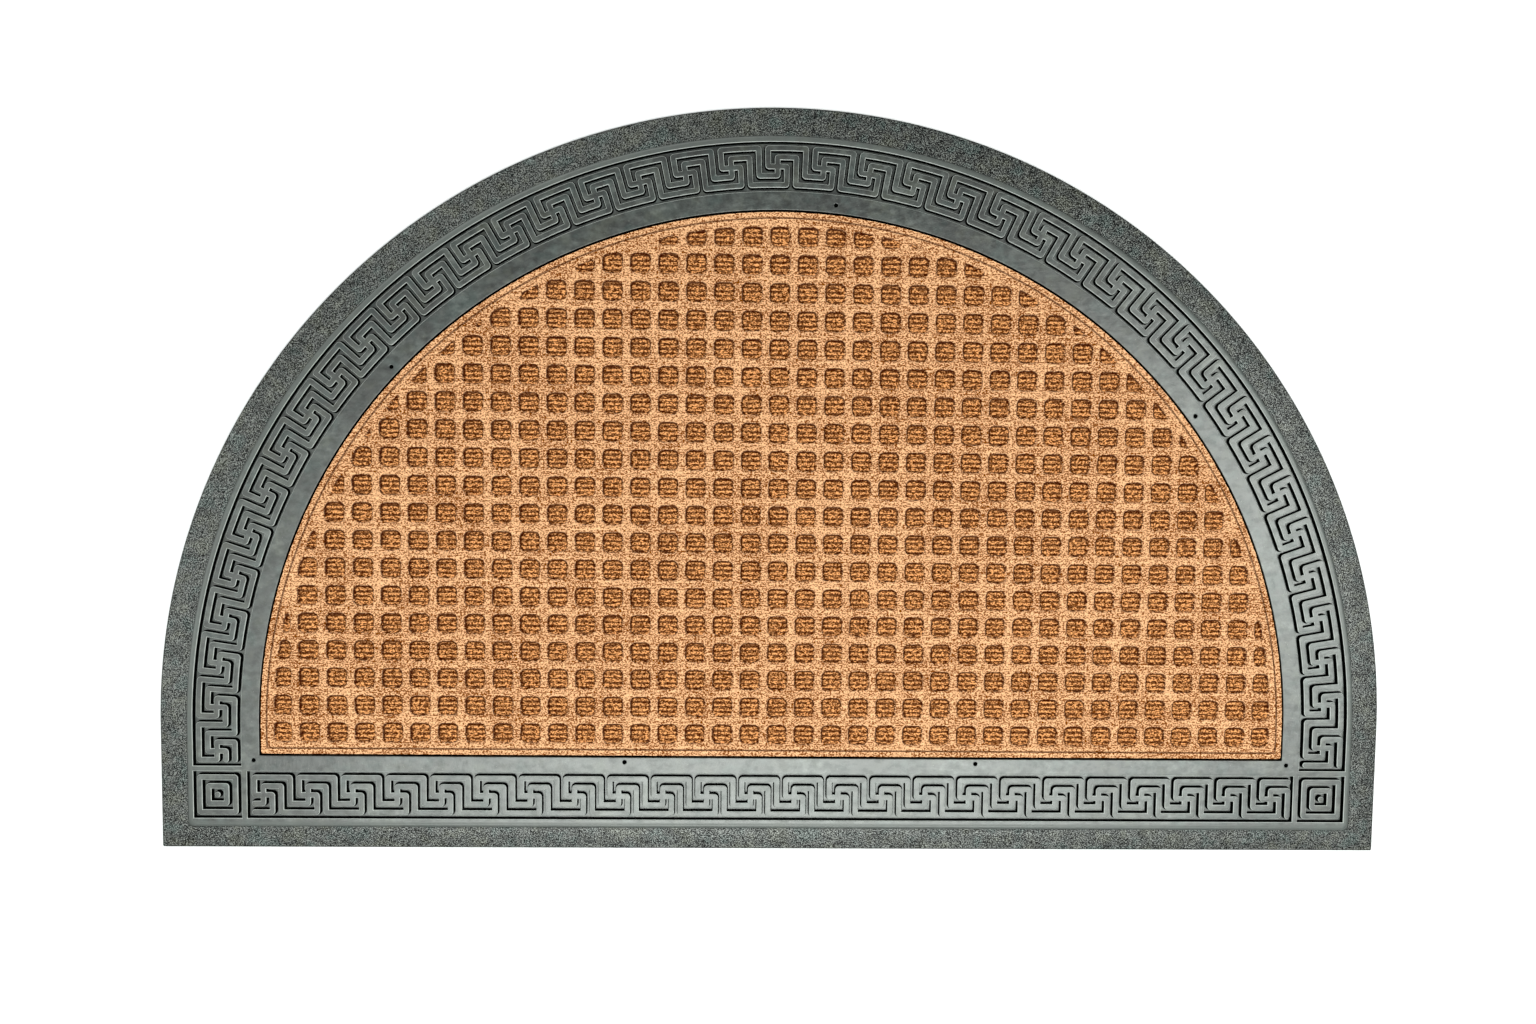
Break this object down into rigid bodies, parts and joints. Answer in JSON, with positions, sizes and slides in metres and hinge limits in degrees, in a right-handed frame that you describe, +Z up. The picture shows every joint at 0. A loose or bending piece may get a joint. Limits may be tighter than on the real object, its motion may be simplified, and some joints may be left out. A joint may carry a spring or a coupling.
{
  "type": "half-moon doormat",
  "caption": "Half-moon doormat: a moulded rubber tray with a key border in relief around a ribbed carpet inlay with pressed square cells.",
  "frame": {"origin": "middle of the mat's box on the floor, under the underside", "axes": "+X to the right along the straight edge, +Y from the straight edge to the top of the arc, +Z up"},
  "size_m": [0.75, 0.451, 0.007],
  "materials": {
    "rubber": "dark grey-green moulded rubber, satin on the border and grained on the apron",
    "carpet": "tan needle-punch carpet with fine ribs, matt and a little fuzzy, browner in the pressed cells"
  },
  "bodies": {
    "root": {"rubber_base": "rubber", "carpet_inlay": "carpet"}
  },
  "joints": []
}
